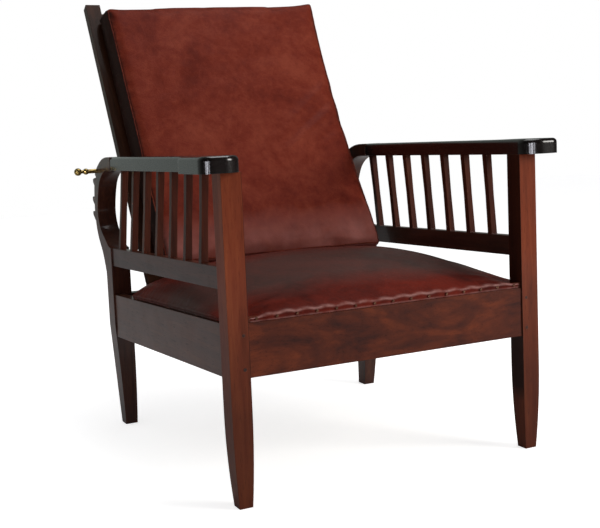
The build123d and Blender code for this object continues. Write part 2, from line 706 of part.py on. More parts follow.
for name, side in (("right", 1), ("left", -1)):
    rail_place = Pos(side * hinge_spread, hinge_y, hinge_height)
    leaf_place = Pos(side * hinge_spread, 0, 0)
    keep("hinge_rail_leaf_" + name, rail_place * rail_leaf)
    keep("hinge_back_leaf_" + name, back_place * leaf_place * back_leaf)
    hinge_pins.append(rail_place * pin)
    hinge_rail -= rail_place * leaf_bed
    foot_rail -= leaf_place * rod_between(-hinge_length, hinge_length, 0, 0, knuckle_room)
    for shape in rail_screws:
        all_rail_screws.append(rail_place * shape)
        hinge_rail -= rail_place * shape
    for shape in back_screws:
        all_back_screws.append(back_place * leaf_place * shape)
        foot_rail -= leaf_place * shape

# Brass rod and the turned finials screwed into its ends
rod_half_length = rear_half_width + rod_side_overhang
rod = rod_between(-rod_half_length, rod_half_length, rod_y, rod_z, rod_radius)
ball_x = rod_half_length + finial_length - finial_ball_radius
bead_x = rod_half_length + finial_bead_radius + rod_travel_clearance
screw_x = rod_half_length - finial_screw_length
bead_half = sqrt(finial_bead_radius**2 - finial_neck_radius**2)
bead_foot = sqrt(finial_bead_radius**2 - rod_radius**2)
ball_half = sqrt(finial_ball_radius**2 - finial_neck_radius**2)
outline = [(screw_x, 0), (screw_x, finial_screw_radius), (rod_half_length, finial_screw_radius),
           (rod_half_length, rod_radius), (bead_x - bead_foot, rod_radius)]
finial_edges = [Edge.make_line(start, end) for start, end in zip(outline, outline[1:])]
finial_edges += [
    Edge.make_three_point_arc((bead_x - bead_foot, rod_radius), (bead_x, finial_bead_radius),
                              (bead_x + bead_half, finial_neck_radius)),
    Edge.make_line((bead_x + bead_half, finial_neck_radius), (ball_x - ball_half, finial_neck_radius)),
    Edge.make_three_point_arc((ball_x - ball_half, finial_neck_radius), (ball_x, finial_ball_radius),
                              (ball_x + finial_ball_radius, 0)),
    Edge.make_line((ball_x + finial_ball_radius, 0), (screw_x, 0)),
]
finial = Pos(0, rod_y, rod_z) * revolve(Face(Wire(finial_edges)), Axis.X)
for side in (-1, 1):
    bore_x = side * (rod_half_length - finial_screw_length / 2)
    rod -= rod_between(bore_x - finial_screw_length / 2, bore_x + finial_screw_length / 2, rod_y, rod_z,
                       finial_screw_radius)

keep_pair("front_leg", front_leg)
keep_pair("rear_leg", rear_leg)
keep_pair("arm", arm)
keep_pair("side_rail", side_rail)
keep_pair("arm_rail", arm_rail)
keep_pair("back_stile", back_place * stile)
keep_pair("rod_finial", finial)
keep("front_rail", front_rail)
keep("rear_rail", rear_rail)
keep("hinge_rail", hinge_rail)
keep("front_pegs", Compound(children=pegs))
keep("hessian", hessian)
keep("seat_stuffing", stuffing)
keep("seat_leather", leather)
keep("seat_tacks", Compound(children=tacks))
keep("back_top_rail", back_place * top_rail)
keep("back_foot_rail", back_place * foot_rail)
keep("back_cushion", back_place * Pos(cushion_shift, 0, 0) * cushion)
keep("hinge_pins", Compound(children=hinge_pins))
keep("hinge_rail_screws", Compound(children=all_rail_screws))
keep("hinge_back_screws", Compound(children=all_back_screws))
keep("rod", rod)

for name, shape in pieces.items():
    export_step(Pos(0, -depth_middle, 0) * shape, f"parts/{name}.step")
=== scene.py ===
import json
import math

import bmesh
import bpy
from mathutils import Matrix, Vector, noise
from mathutils.bvhtree import BVHTree


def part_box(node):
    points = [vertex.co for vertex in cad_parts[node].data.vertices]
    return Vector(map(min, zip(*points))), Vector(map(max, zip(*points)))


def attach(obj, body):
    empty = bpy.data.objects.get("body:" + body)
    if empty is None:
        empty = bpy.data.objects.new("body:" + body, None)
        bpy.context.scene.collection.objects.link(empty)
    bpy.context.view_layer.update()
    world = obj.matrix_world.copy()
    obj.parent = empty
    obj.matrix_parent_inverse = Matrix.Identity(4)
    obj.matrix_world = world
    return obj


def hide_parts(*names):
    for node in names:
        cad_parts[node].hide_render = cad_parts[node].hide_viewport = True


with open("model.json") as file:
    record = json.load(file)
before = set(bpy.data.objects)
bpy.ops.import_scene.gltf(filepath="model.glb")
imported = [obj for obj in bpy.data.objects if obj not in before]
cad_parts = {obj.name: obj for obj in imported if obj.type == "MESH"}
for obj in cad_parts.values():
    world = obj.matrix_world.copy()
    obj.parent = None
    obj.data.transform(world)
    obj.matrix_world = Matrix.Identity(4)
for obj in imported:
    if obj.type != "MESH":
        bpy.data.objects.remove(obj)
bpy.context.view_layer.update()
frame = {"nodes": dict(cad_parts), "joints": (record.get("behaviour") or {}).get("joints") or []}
nodes = frame["nodes"]
mm = 0.001

# Front legs. Square posts of dark red-brown hardwood that taper to a small foot, stained, then french
# polished to a gloss. The grain runs up the leg, and the polish is rubbed thin along the edges.


class Flow:
    """A number or a colour on its way through a material. Sums written on it add the nodes for them."""

    def __init__(self, tree, socket=None):
        self.tree = tree
        self.socket = socket

    def node(self, kind, settings=None, sockets=None, out=0):
        """Adds any other node: its settings first, then the values and links of its sockets."""
        made = self.tree.nodes.new("ShaderNode" + kind)
        for name, value in (settings or {}).items():
            if name == "stops":
                ramp = made.color_ramp.elements
                while len(ramp) < len(value):
                    ramp.new(0.5)
                for stop, (position, shade) in zip(ramp, value):
                    stop.position = position
                    stop.color = (*shade, 1) if isinstance(shade, tuple) else (shade, shade, shade, 1)
            else:
                setattr(made, name, value)
        for name, value in (sockets or {}).items():
            if isinstance(value, Flow):
                self.tree.links.new(value.socket, made.inputs[name])
            else:
                made.inputs[name].default_value = value
        return Flow(self.tree, made.outputs[out])

    def into(self, shader, name):
        """Leads this value into a socket of the finished surface."""
        self.tree.links.new(self.socket, shader.inputs[name])

    def _sum(self, operation, first, second):
        return self.node("Math", {"operation": operation}, {0: first, 1: second})

    def __add__(self, other):
        return self._sum("ADD", self, other)

    def __sub__(self, other):
        return self._sum("SUBTRACT", self, other)

    def __mul__(self, other):
        return self._sum("MULTIPLY", self, other)

    def __radd__(self, other):
        return self._sum("ADD", other, self)

    def __rsub__(self, other):
        return self._sum("SUBTRACT", other, self)

    def __rmul__(self, other):
        return self._sum("MULTIPLY", other, self)

    def spread(self, low, high, to_low=0.0, to_high=1.0):
        """This value carried from one range to another, and held at its ends."""
        return self.node("MapRange", sockets={"Value": self, "From Min": low, "From Max": high,
                                              "To Min": to_low, "To Max": to_high})

    def blended(self, first, second):
        """Two colours mixed by this mask: the first where it is 0, the second where it is 1."""
        return self.node("Mix", {"data_type": "RGBA"},
                         {0: self, 6: first if isinstance(first, Flow) else (*first, 1),
                          7: second if isinstance(second, Flow) else (*second, 1)}, out=2)


def new_finish(name):
    """An empty surface: its material, its shader and the start of its nodes."""
    finish = bpy.data.materials.new(name)
    finish.use_nodes = True
    return finish, finish.node_tree.nodes["Principled BSDF"], Flow(finish.node_tree)


def toned(shade, share):
    """A darker or lighter tone of a colour."""
    return tuple(share * part for part in shade)


def stained_wood(name, grain_turn, grain_length, dark, middle, light, figure=0.25, polish=0.26, gloss=0.3):
    """Polished hardwood with its grain along one line, pores, a slow drift of tone and rubbed edges."""
    finish, shader, start = new_finish(name)
    place = start.node("TexCoord", out="Object")
    along = start.node("Mapping", {"vector_type": "TEXTURE"},
                       {"Vector": place, "Rotation": grain_turn, "Scale": grain_length})
    drift = start.node("TexNoise", sockets={"Vector": along, "Scale": 11.0, "Detail": 3.0})
    streaks = start.node("TexNoise", sockets={"Vector": along, "Scale": 85.0, "Detail": 6.0,
                                              "Roughness": 0.62, "Distortion": 0.6})
    curls = start.node("TexNoise", sockets={"Vector": along, "Scale": 14.0, "Detail": 4.0,
                                            "Roughness": 0.55, "Distortion": 0.5 + 3.0 * figure})
    pores = start.node("TexNoise", sockets={"Vector": along, "Scale": 620.0, "Detail": 2.0})
    tone = streaks * (0.55 - 0.45 * figure) + drift * (0.45 - 0.2 * figure) + curls * (0.65 * figure)
    grain = tone.node("ValToRGB", {"stops": ((0.30 + 0.1 * figure, dark), (0.50, middle),
                                             (0.72 - 0.12 * figure, light))}, {"Fac": tone})
    pore_mask = pores.spread(0.60, 0.72, 0.0, 0.45)
    rounded = start.node("Bevel", {"samples": 4}, {"Radius": 2.0 * mm})
    true_face = start.node("NewGeometry", out="Normal")
    facing = start.node("VectorMath", {"operation": "DOT_PRODUCT"}, {0: rounded, 1: true_face}, out="Value")
    edge = facing.spread(0.99, 0.86)
    handling = start.node("TexNoise", sockets={"Vector": place, "Scale": 26.0, "Detail": 4.0})
    rubbed = edge * handling.spread(0.40, 0.66, 0.05, 0.7)
    pored = pore_mask.blended(grain, toned(dark, 0.35))
    rubbed.blended(pored, toned(light, 1.35)).into(shader, "Base Color")
    (polish + handling * 0.16 + pore_mask * 0.2 + rubbed * 0.1).into(shader, "Roughness")
    relief = start.node("Bump", sockets={"Height": streaks * 0.5 - pore_mask * 0.5, "Strength": 0.16,
                                         "Distance": 0.5 * mm, "Normal": rounded})
    relief.into(shader, "Normal")
    shader.inputs["Specular IOR Level"].default_value = 0.5 * gloss
    shader.inputs["Coat Weight"].default_value = gloss
    shader.inputs["Coat Roughness"].default_value = 0.10
    return finish


def overlaid(finish, shade, mask):
    """Lays another colour over a finish where the mask, worked out from the place on the piece, is 1."""
    tree = finish.node_tree
    shader = tree.nodes["Principled BSDF"]
    start = Flow(tree)
    place = start.node("TexCoord", out="Object")
    parts = [start.node("SeparateXYZ", sockets={"Vector": place}, out=number) for number in range(3)]
    below = Flow(tree, shader.inputs["Base Color"].links[0].from_socket)
    mask(start, place, *parts).blended(below, shade).into(shader, "Base Color")


def finished(finish, *names):
    """Puts a finish on pieces of the chair as they stand."""
    for name in names:
        for place in nodes[name].material_slots:
            place.material = finish


leg_wood = stained_wood("leg_wood", (0, 0, 0), (1, 1, 13),
                        (0.085, 0.018, 0.008), (0.175, 0.036, 0.015), (0.265, 0.066, 0.024), gloss=0.12)
finished(leg_wood, "front_leg_left", "front_leg_right")
inner_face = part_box("front_leg_right")[0].x


def painted_inner_shade_and_dark_feet(start, place, x, y, z):
    """Painted shade on the sides turned to the seat, and the wood darker towards the feet."""
    across = x.node("Math", {"operation": "ABSOLUTE"}, {0: x})
    # painted shade on the faces of the posts turned to the seat
    inside = across.spread(inner_face + 1.0 * mm, inner_face + 0.4 * mm, 0.0, 0.85)
    foot_jitter = start.node("TexNoise", sockets={"Vector": place, "Scale": 12.0, "Detail": 4.0})
    foot = (z + foot_jitter * 0.12).spread(0.46, 0.22, 0.0, 0.55)
    return 1 - (1 - inside) * (1 - foot)


# painted shade on the inner faces of the front posts, and the wood darker towards the feet
overlaid(leg_wood, (0.008, 0.003, 0.002), painted_inner_shade_and_dark_feet)

# Rear legs. Each is sawn in one piece with the bow that swings back and up to carry the arm, and with
# the hooked teeth that hold the brass rod. The same wood, darker where hands and years have been.
bow_wood = stained_wood("bow_wood", (0, 0, 0), (1, 1, 10),
                        (0.018, 0.006, 0.004), (0.050, 0.015, 0.009), (0.095, 0.030, 0.014))
finished(bow_wood, "rear_leg_left", "rear_leg_right")

# Front rail. A wide board with wild, swirling figure, tenoned and pegged into the front legs.
front_rail_wood = stained_wood("front_rail_wood", (0, 0, 0), (2.6, 1, 1),
                               (0.040, 0.013, 0.010), (0.083, 0.020, 0.011), (0.140, 0.031, 0.013),
                               figure=0.8, gloss=0.1)
finished(front_rail_wood, "front_rail")

# Rear rail and hinge rail. Plain boards across the seat frame, one between the rear legs, the other
# housed in the side rails, where it carries the hinges of the back.
cross_wood = stained_wood("cross_wood", (0, 0, 0), (13, 1, 1),
                          (0.025, 0.008, 0.005), (0.070, 0.020, 0.010), (0.130, 0.040, 0.017))
finished(cross_wood, "rear_rail", "hinge_rail")

# Side rails and lower arm rails. Boards tenoned between the front and rear legs. The side rails carry
# the seat, the arm rails hold the spindles.
side_wood = stained_wood("side_wood", (0, 0, 0), (1, 13, 1),
                         (0.020, 0.007, 0.005), (0.055, 0.017, 0.010), (0.100, 0.032, 0.015))
finished(side_wood, "side_rail_left", "side_rail_right", "arm_rail_left", "arm_rail_right")

# Arms. Flat boards with a wide paddle in front, sawn to shape, with a rounded top edge. Hands have
# darkened them almost to black and worn the polish smooth.
arm_wood = stained_wood("arm_wood", (0, 0, 0), (1, 13, 1),
                        (0.004, 0.003, 0.0025), (0.007, 0.0045, 0.004), (0.013, 0.008, 0.007), polish=0.14,
                        gloss=0.55)
finished(arm_wood, "arm_left", "arm_right")

# Spindles. Seven square sticks of the same wood a side, slightly waisted, each housed at both ends, in
# the arm and in the lower rail.
spindle_wood = stained_wood("spindle_wood", (0, 0, 0), (1, 1, 13),
                            (0.016, 0.005, 0.003), (0.055, 0.013, 0.007), (0.110, 0.028, 0.012), gloss=0.14)
finished(spindle_wood, *[f"spindle_{number}_{side}" for number in range(1, 8) for side in ("left", "right")])

# Pegs. Round wooden pins, two driven through each front leg and the tenons of the front rail. Their end
# grain shows dark.
peg_wood = stained_wood("peg_wood", (0, 0, 0), (1, 3, 1),
                        (0.018, 0.006, 0.004), (0.045, 0.013, 0.007), (0.080, 0.025, 0.012))
finished(peg_wood, "front_pegs")

# Hinges. Two steel butt hinges screwed to the hinge rail and to the foot rail of the back. The steel
# has dulled and browned.
hinge_steel, shader, start = new_finish("hinge_steel")
place = start.node("TexCoord", out="Object")
stains = start.node("TexNoise", sockets={"Vector": place, "Scale": 160.0, "Detail": 6.0, "Roughness": 0.7})
brushing = start.node("TexNoise", sockets={
    "Vector": start.node("Mapping", {"vector_type": "TEXTURE"}, {"Vector": place, "Scale": (30, 1, 1)}),
    "Scale": 900.0})
browned = stains.spread(0.48, 0.66)
browned.blended((0.26, 0.25, 0.24), (0.095, 0.052, 0.030)).into(shader, "Base Color")
(0.34 + browned * 0.3 + brushing * 0.1).into(shader, "Roughness")
(0.95 - browned * 0.55).into(shader, "Metallic")
start.node("Bump", sockets={"Height": stains + brushing * 0.4, "Strength": 0.2,
                            "Distance": 0.2 * mm}).into(shader, "Normal")
finished(hinge_steel, "hinge_rail_leaf_left", "hinge_rail_leaf_right", "hinge_back_leaf_left",
         "hinge_back_leaf_right", "hinge_pins", "hinge_rail_screws", "hinge_back_screws")

# Webbing. Bands of plain-woven jute, four lengthwise from the front rail to the hinge rail, and three
# across over them on the side rails.


def woven(name, across, down, pitch, warp, weft):
    """A plain weave of two threads at a pitch, across and down being the directions of the threads."""
    finish, shader, start = new_finish(name)
    place = start.node("TexCoord", out="Object")
    waves = []
    for direction in (across, down):
        waves.append(start.node("TexWave", {"bands_direction": direction, "wave_profile": "SIN"},
                                {"Vector": place, "Scale": 0.5 / pitch, "Distortion": 0.4,
                                 "Detail": 1.0, "Detail Scale": 3.0}, out="Fac"))
    over = waves[0] * waves[1] + (1 - waves[0]) * (1 - waves[1])
    fibres = start.node("TexNoise", sockets={"Vector": place, "Scale": 420.0, "Detail": 5.0})
    soiling = start.node("TexNoise", sockets={"Vector": place, "Scale": 9.0, "Detail": 4.0})
    cloth = over.blended(warp, weft)
    aged = soiling.spread(0.4, 0.7, 0.0, 0.55)
    aged.blended(cloth, (0.12, 0.085, 0.05)).into(shader, "Base Color")
    (0.82 + fibres * 0.14).into(shader, "Roughness")
    start.node("Bump", sockets={"Height": over * 0.7 + fibres * 0.5, "Strength": 0.6,
                                "Distance": 0.6 * mm}).into(shader, "Normal")
    return finish


jute = woven("jute", "X", "Y", 2.4 * mm, (0.38, 0.28, 0.16), (0.26, 0.185, 0.10))
finished(jute, *[f"webbing_long_{number}" for number in range(1, 5)],
         *[f"webbing_cross_{number}" for number in range(1, 4)])

# Hessian. A coarse sheet of jute, woven like the webbing but finer. It lies on the webbing and keeps the
# stuffing in.
hessian_cloth = woven("hessian_cloth", "X", "Y", 1.6 * mm, (0.42, 0.33, 0.20), (0.33, 0.25, 0.145))
finished(hessian_cloth, "hessian")

# Seat. Oxblood leather over a domed pad of horsehair, drawn down to a border above the rails and nailed
# along the front, where it puckers into a scallop between the tacks.
seat_node = nodes["seat_leather"]
post_gap = 2.0 * mm
post_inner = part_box("front_leg_right")[0].x - post_gap
post_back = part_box("front_leg_right")[1].y + post_gap
seat_low, seat_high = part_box("seat_leather")
tack_low, tack_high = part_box("seat_tacks")
tack_count = 15
tack_head = 5.0 * mm
tack_pitch = (tack_high.x - tack_low.x - tack_head) / (tack_count - 1)
seat_fall = 0.037
side_spread = 12.0 / 594.0
thinnest_pad = 6.0 * mm
weld = 0.02 * mm
plane_at_front = seat_low.z + seat_fall * (seat_high.y - seat_low.y)
crest_columns = 116
crest_rows = 108
strip_columns = 7
front_rows = 9


def rail_plane(y):
    """Height of the rail tops under the seat."""
    return plane_at_front - seat_fall * (y - seat_low.y)


def seat_half(y):
    """Half the width of the seat, which grows a little to the back."""
    share = (y - seat_low.y) / (seat_high.y - seat_low.y)
    front_half = seat_high.x - side_spread * (seat_high.y - seat_low.y)
    return front_half + share * (seat_high.x - front_half)


def soft_waves(point, size, seed):
    """Smooth swells and hollows, from -1 to 1, about size apart."""
    return noise.noise(Vector((point.x / size + seed, point.y / size - seed, point.z / size + 2 * seed)))


solid = bmesh.new()
solid.from_mesh(seat_node.data)
bmesh.ops.remove_doubles(solid, verts=solid.verts, dist=weld)
seat_tree = BVHTree.FromBMesh(solid)
solid.free()
bpy.ops.object.select_all(action="DESELECT")
bpy.ops.mesh.primitive_grid_add(x_subdivisions=crest_columns + 2 * strip_columns,
                                y_subdivisions=crest_rows + front_rows, size=2)
seat = bpy.context.object
seat.name = "seat_cover"
edge_in = 3.5 * mm
total_columns = crest_columns + 2 * strip_columns
total_rows = crest_rows + front_rows
gone = set()
for vertex in seat.data.vertices:
    column = round((vertex.co.x + 1) / 2 * total_columns)
    row = round((vertex.co.y + 1) / 2 * total_rows)
    if row <= front_rows:
        y = seat_low.y + edge_in + (post_back + edge_in - seat_low.y - edge_in) * row / front_rows
    else:
        share = (row - front_rows) / crest_rows
        y = post_back + edge_in + share * (seat_high.y - edge_in - post_back - edge_in)
    inner = post_inner - edge_in
    reach = seat_half(y) - edge_in
    if column < strip_columns:
        x = -reach + (reach - inner) * column / strip_columns
    elif column > total_columns - strip_columns:
        x = reach - (reach - inner) * (total_columns - column) / strip_columns
    else:
        x = -inner + 2 * inner * (column - strip_columns) / crest_columns
    if row < front_rows and (column < strip_columns or column > total_columns - strip_columns):
        gone.add(vertex.index)
    found = seat_tree.ray_cast(Vector((x, y, 1)), Vector((0, 0, -1)))[0]
    vertex.co = (x, y, found.z if found else rail_plane(y) + thinnest_pad)
crest = bmesh.new()
crest.from_mesh(seat.data)
crest.verts.ensure_lookup_table()
bmesh.ops.delete(crest, geom=[crest.verts[number] for number in gone], context="VERTS")
crest.to_mesh(seat.data)
crest.free()


def chosen(piece):
    """Makes this the one selected and active piece."""
    bpy.ops.object.select_all(action="DESELECT")
    piece.select_set(True)
    bpy.context.view_layer.objects.active = piece


def subdivided(piece):
    """Divides every face of the active piece once more, with rounding."""
    smoother = piece.modifiers.new("finer", "SUBSURF")
    smoother.levels = smoother.render_levels = 1
    bpy.ops.object.modifier_apply(modifier="finer")


def swollen(pad, pressure, cap, held=None, frames=20):
    """Blows a cover out over its stuffing, as cloth, and lets no point go further than the cap."""
    before = [vertex.co.copy() for vertex in pad.data.vertices]
    cloth = pad.modifiers.new("Cloth", "CLOTH")
    cloth.settings.quality = 5
    cloth.settings.mass = 0.4
    cloth.settings.use_pressure = True
    cloth.settings.uniform_pressure_force = pressure
    cloth.settings.effector_weights.gravity = 0
    cloth.settings.tension_stiffness = 40
    cloth.settings.compression_stiffness = 40
    cloth.settings.bending_stiffness = 4
    if held:
        cloth.settings.vertex_group_mass = held
    cloth.point_cache.frame_start = 1
    cloth.point_cache.frame_end = frames
    for number in range(1, frames + 1):
        bpy.context.scene.frame_set(number)
    chosen(pad)
    bpy.ops.object.modifier_apply(modifier="Cloth")
    bpy.context.scene.frame_set(1)
    for vertex, was in zip(pad.data.vertices, before):
        step = vertex.co - was
        if step.length > cap:
            vertex.co = was + step.normalized() * cap


# the crest is held at its rim and blown out a little over the stuffing
crest = bmesh.new()
crest.from_mesh(seat.data)
rim = [vertex.index for vertex in crest.verts if vertex.is_boundary]
crest.free()
seat.vertex_groups.new(name="rim").add(rim, 1.0, "REPLACE")
swollen(seat, 1.2, 5.0 * mm, held="rim", frames=16)

# the border goes down from the rim to the rails in rows: how far out of the crest's rim, and its height
# as a share of the rim's; then it turns in under the pad, which is closed below
border_rows = ((2.1 * mm, 0.94), (3.3 * mm, 0.82), (3.9 * mm, 0.68), (3.5 * mm, 0.56), (2.3 * mm, 0.46),
               (2.2 * mm, 0.30), (2.3 * mm, 0.14), (2.3 * mm, 0.02))
crest = bmesh.new()
crest.from_mesh(seat.data)
edges = [edge for edge in crest.edges if edge.is_boundary]
outward = {}
for edge in edges:
    run = edge.verts[1].co - edge.verts[0].co
    normal = Vector((run.y, -run.x, 0)).normalized()
    face_middle = edge.link_faces[0].calc_center_median()
    middle = (edge.verts[0].co + edge.verts[1].co) / 2
    if normal.dot(middle - face_middle) < 0:
        normal = -normal
    for vertex in edge.verts:
        outward.setdefault(vertex.index, Vector()).__iadd__(normal)
rim_places = {}
crest.verts.ensure_lookup_table()
for index, normal in outward.items():
    mitre = min(1.42, 2 / max(normal.length, 1))
    rim_places[index] = (crest.verts[index].co.copy(), normal.normalized() * mitre)
previous = {index: crest.verts[index] for index in rim_places}
pairs = [(edge.verts[0].index, edge.verts[1].index) for edge in edges]
turned_in = ((0.3 * mm, 0.02), (0.3 * mm, None))
underside = 5.2 * mm
tack_share = 0.52
for out, share in border_rows + turned_in:
    ring = {}
    for index, (rim_place, normal) in rim_places.items():
        base = rail_plane(rim_place.y)
        height = rim_place.z - base
        front = max(0.0, -normal.y)
        on_nail = math.cos(2 * math.pi * rim_place.x / tack_pitch)
        out_here = out
        rise = base + underside if share is None else base + share * height
        if share and front > 0.5 and abs(rim_place.x) < post_inner:
            pulled = front * math.exp(-((share - tack_share) / 0.16) ** 2)
            out_here -= pulled * (0.45 + 0.65 * on_nail) * mm
            rise += pulled * (0.5 - 0.9 * on_nail) * mm
            out_here += 0.5 * mm * pulled * soft_waves(rim_place, 13 * mm, 4)
        elif share:
            out_here += 0.6 * mm * soft_waves(rim_place + Vector((0, 0, share * 0.02)), 9 * mm, 7)
        place = rim_place + normal * out_here
        ring[index] = crest.verts.new((place.x, place.y, rise))
    for first, second in pairs:
        crest.faces.new((previous[first], previous[second], ring[second], ring[first]))
    previous = ring
bottom = [crest.edges.get((previous[first], previous[second])) for first, second in pairs]
bmesh.ops.recalc_face_normals(crest, faces=crest.faces)
bmesh.ops.triangle_fill(crest, edges=bottom, use_beauty=True)
bmesh.ops.recalc_face_normals(crest, faces=crest.faces)
crest.to_mesh(seat.data)
crest.free()
# a painted highlight along the roll over the front border, and a pale line along its lower edge, as a share
# at each point
wear = seat.data.attributes.new("wear", "FLOAT", "POINT")
for vertex in seat.data.vertices:
    above = vertex.co.z - rail_plane(vertex.co.y)
    at_front = math.exp(-((vertex.co.y - seat_low.y) / (9 * mm)) ** 2)
    on_nail = 0.5 + 0.5 * math.cos(2 * math.pi * vertex.co.x / tack_pitch)
    upper = math.exp(-((above - (13.5 - 2.5 * on_nail) * mm) / (2.2 * mm)) ** 2)
    lower = math.exp(-((above - 1.5 * mm) / (1.6 * mm)) ** 2)
    wear.data[vertex.index].value = at_front * min(1.0, upper + 0.6 * lower)

# gathers: the leather folds finely where it is drawn over the front edge to the tacks and to the posts
border_top = 7 * mm
post_draw = 11.0
thinnest_gather = 6.5 * mm
for vertex in seat.data.vertices:
    place = vertex.co
    from_front = place.y - seat_low.y
    above = place.z - rail_plane(place.y)
    if above < border_top:
        continue
    beside_post = max(0.0, abs(place.x) - post_inner + 40 * mm)
    behind_post = max(0.0, place.y - post_back)
    from_post = math.hypot(beside_post, behind_post) / (60 * mm)
    near_front = math.exp(-(from_front / (26 * mm)) ** 2)
    near_post = math.exp(-((abs(abs(place.x) - post_inner) / (34 * mm)) ** 2)
                         - ((place.y - post_back) / (42 * mm)) ** 2)
    near_side = math.exp(-((seat_half(place.y) - abs(place.x)) / (20 * mm)) ** 2)
    fine = noise.noise(Vector((place.x / (7 * mm), place.y / (40 * mm), 3.1)))
    rays = noise.noise(Vector((math.atan2(place.y - seat_low.y, post_inner - abs(place.x)) * 7,
                               math.copysign(3, place.x), from_post)))
    lengthwise = noise.noise(Vector((place.y / (8 * mm), place.x / (60 * mm), 8.4)))
    easy = soft_waves(place, 95 * mm, 11)
    vertex.co.z += (0.8 * fine * near_front + 2.2 * rays * near_post + 0.9 * lengthwise * near_side
                    + 1.3 * easy - post_draw * near_post) * mm
    vertex.co.z = max(vertex.co.z, rail_plane(place.y) + thinnest_gather)
chosen(seat)
subdivided(seat)
bpy.ops.object.shade_smooth()


def oxblood(name, deep, middle, worn, sheen, gloss, patch_size, worn_amount):
    """Old semi-gloss leather: cloudy patches, fine crackled grain, creases and a rubbed surface."""
    finish, shader, start = new_finish(name)
    place = start.node("TexCoord", out="Object")
    clouds = start.node("TexNoise", sockets={"Vector": place, "Scale": 1 / patch_size, "Detail": 5.0,
                                             "Roughness": 0.62, "Distortion": 0.8})
    mottle = start.node("TexNoise", sockets={"Vector": place, "Scale": 6 / patch_size, "Detail": 5.0,
                                             "Roughness": 0.65})
    cells = start.node("TexVoronoi", {"feature": "DISTANCE_TO_EDGE"}, {"Vector": place, "Scale": 420.0},
                       out="Distance")
    creases = start.node("TexVoronoi", {"feature": "DISTANCE_TO_EDGE"},
                         {"Vector": place.node("Mapping", {"vector_type": "TEXTURE"},
                                               {"Vector": place, "Rotation": (0.3, 0.5, 0.6),
                                                "Scale": (1, 2.2, 1)}),
                          "Scale": 26.0, "Randomness": 1.0}, out="Distance")
    tone = clouds * 0.6 + mottle * 0.4
    dyed = tone.node("ValToRGB", {"stops": ((0.36, deep), (0.50, middle), (0.66, worn))}, {"Fac": tone})
    pits = cells.spread(0.0, 0.22, 1.0, 0.0)
    fold = creases.spread(0.0, 0.05, 1.0, 0.0)
    rub = (fold * mottle * worn_amount).blended(dyed, toned(worn, 1.25))
    (pits * 0.35).blended(rub, toned(deep, 0.5)).into(shader, "Base Color")
    (sheen + mottle * 0.22 + pits * 0.1 - fold * 0.04).into(shader, "Roughness")
    start.node("Bump", sockets={"Height": mottle * 0.5 - pits * 0.3 - fold * 0.35, "Strength": 0.35,
                                "Distance": 0.8 * mm}).into(shader, "Normal")
    shader.inputs["Specular IOR Level"].default_value = gloss
    shader.inputs["Coat Weight"].default_value = 0.2 * gloss
    shader.inputs["Coat Roughness"].default_value = 0.25
    return finish


seat_leather = oxblood("seat_leather_finish", (0.050, 0.006, 0.004), (0.105, 0.011, 0.006),
                       (0.175, 0.018, 0.009), 0.24, 0.04, 0.22, 0.3)


def painted_seat_sheen(start, place, x, y, z):
    """Painted sheen: a dull grey band across the middle of the seat stands in for the light behind mirrored
    in the leather.
    """
    cloudy = start.node("TexNoise", sockets={"Vector": place, "Scale": 7.0, "Detail": 4.0})
    where = y + cloudy * 0.10
    return where.spread(-0.345, -0.265) * where.spread(-0.13, -0.02, 0.62, 0.15)


def painted_roll_highlight(start, place, x, y, z):
    """Painted highlight along the roll over the front border, and a pale line along its lower edge."""
    patchy = start.node("TexNoise", sockets={"Vector": place, "Scale": 60.0, "Detail": 5.0})
    roll_here = start.node("Attribute", {"attribute_name": "wear"}, out="Fac")
    return roll_here * patchy.spread(0.35, 0.6, 0.25, 0.8)


# painted sheen: a grey band across the middle of the seat
overlaid(seat_leather, (0.054, 0.047, 0.042), painted_seat_sheen)
# painted highlight on the roll of the front border, and a pale line along its lower edge
overlaid(seat_leather, (0.36, 0.19, 0.17), painted_roll_highlight)
seat.data.materials.append(seat_leather)
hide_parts("seat_leather", "seat_stuffing")
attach(seat, "frame")

# Tacks. Small round-headed brass nails, browned, driven through the border of the leather into the lip
# of the front rail.


def old_brass(name, bright, brown, dulled):
    """Brass that has browned in the hollows and stays bright where it is rubbed."""
    finish, shader, start = new_finish(name)
    place = start.node("TexCoord", out="Object")
    tarnish = start.node("TexNoise", sockets={"Vector": place, "Scale": 90.0, "Detail": 6.0,
                                              "Roughness": 0.65})
    lathe = start.node("TexNoise", sockets={
        "Vector": start.node("Mapping", {"vector_type": "TEXTURE"}, {"Vector": place, "Scale": (1, 25, 25)}),
        "Scale": 1100.0})
    browned = tarnish.spread(0.42, 0.68, 0.0, dulled)
    browned.blended(bright, brown).into(shader, "Base Color")
    (0.20 + browned * 0.30 + lathe * 0.08).into(shader, "Roughness")
    start.node("Bump", sockets={"Height": lathe * 0.4 + tarnish * 0.3, "Strength": 0.12,
                                "Distance": 0.2 * mm}).into(shader, "Normal")
    shader.inputs["Metallic"].default_value = 1.0
    return finish


finished(old_brass("tack_brass", (0.14, 0.065, 0.04), (0.06, 0.026, 0.018), 1.0), "seat_tacks")

# Back frame. Two stiles, a top and a foot rail tenoned into them, and five slats behind the cushion.
# The grain follows the lean of the back.
lean = math.radians(30)
stile_wood = stained_wood("stile_wood", (-lean, 0, 0), (1, 1, 13),
                          (0.010, 0.004, 0.002), (0.038, 0.013, 0.006), (0.085, 0.027, 0.011), gloss=0.08)
finished(stile_wood, "back_stile_left", "back_stile_right",
         *[f"back_slat_{number}" for number in range(1, 6)])
finished(cross_wood, "back_top_rail", "back_foot_rail")

